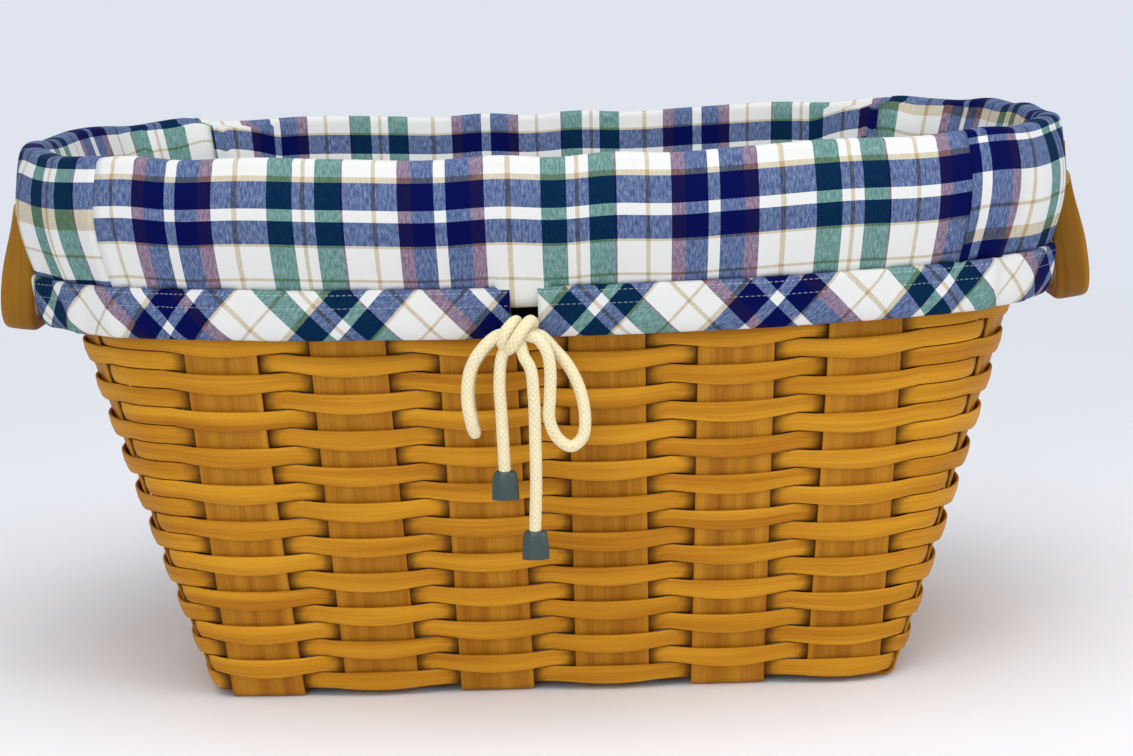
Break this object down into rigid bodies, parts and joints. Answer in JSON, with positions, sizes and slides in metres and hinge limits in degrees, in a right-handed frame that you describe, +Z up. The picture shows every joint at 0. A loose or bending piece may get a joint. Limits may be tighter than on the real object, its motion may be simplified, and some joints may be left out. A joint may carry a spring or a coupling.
{
  "type": "laundry basket",
  "caption": "Flared basket of flat woven wood splints with a plaid cloth liner folded over its rim, a drawstring tied in a bow and a swinging bentwood handle at each end.",
  "frame": {"origin": "on the floor, under the middle of the basket without its bow", "axes": "+X along the length of the basket, -Y towards the side with the bow, +Z up"},
  "size_m": [0.5814, 0.3803, 0.2884],
  "materials": {
    "splint_wood": "clear satin on pale maple",
    "weaver_wood": "clear satin on maple",
    "band_wood": "clear satin on maple",
    "handle_wood": "golden brown satin on bent hardwood",
    "rivet_brass": "plain",
    "liner_cloth": "woven cotton plaid in navy, green, maroon, tan and white",
    "hem_cloth": "the same plaid cut on the bias",
    "cord_cotton": "natural braided cotton",
    "cord_end_plastic": "dark grey green moulded plastic"
  },
  "bodies": {
    "basket": {"cross_splint_1": "splint_wood", "cross_splint_2": "splint_wood", "cross_splint_3": "splint_wood", "cross_splint_4": "splint_wood", "cross_splint_5": "splint_wood", "cross_splint_6": "splint_wood", "long_splint_1": "splint_wood", "long_splint_2": "splint_wood", "long_splint_3": "splint_wood", "long_splint_4": "splint_wood", "weaver_01": "weaver_wood", "weaver_02": "weaver_wood", "weaver_03": "weaver_wood", "weaver_04": "weaver_wood", "weaver_05": "weaver_wood", "weaver_06": "weaver_wood", "weaver_07": "weaver_wood", "weaver_08": "weaver_wood", "weaver_09": "weaver_wood", "weaver_10": "weaver_wood", "weaver_11": "weaver_wood", "weaver_12": "weaver_wood", "weaver_13": "weaver_wood", "weaver_14": "weaver_wood", "weaver_15": "weaver_wood", "weaver_16": "weaver_wood", "weaver_17": "weaver_wood", "weaver_18": "weaver_wood", "weaver_19": "weaver_wood", "weaver_20": "weaver_wood", "weaver_21": "weaver_wood", "weaver_22": "weaver_wood", "weaver_23": "weaver_wood", "weaver_24": "weaver_wood", "rim_band_outer": "band_wood", "rim_band_inner": "band_wood", "handle_ear_right_front": "band_wood", "handle_rivet_right_front": "rivet_brass", "handle_ear_right_back": "band_wood", "handle_rivet_right_back": "rivet_brass", "handle_ear_left_front": "band_wood", "handle_rivet_left_front": "rivet_brass", "handle_ear_left_back": "band_wood", "handle_rivet_left_back": "rivet_brass", "liner_floor": "liner_cloth", "liner_front": "liner_cloth", "liner_back": "liner_cloth", "liner_right_end": "liner_cloth", "liner_left_end": "liner_cloth", "drawstring_hem": "hem_cloth", "drawstring": "cord_cotton", "bow_knot": "cord_cotton", "bow_loop_left": "cord_cotton", "bow_loop_right": "cord_cotton", "bow_tail_left": "cord_cotton", "bow_tail_right": "cord_cotton", "cord_end_left": "cord_end_plastic", "cord_end_right": "cord_end_plastic"},
    "right_handle": {"handle_right": "handle_wood"},
    "left_handle": {"handle_left": "handle_wood"}
  },
  "joints": [
    {"name": "right_handle_swing", "type": "hinge", "parent": "basket", "child": "right_handle", "pos_m": [0.27287, 0, 0.2554], "axis": [0, -1, 0], "range_deg": [0, 140]},
    {"name": "left_handle_swing", "type": "hinge", "parent": "basket", "child": "left_handle", "pos_m": [-0.27287, 0, 0.2554], "axis": [0, 1, 0], "range_deg": [0, 140]}
  ]
}
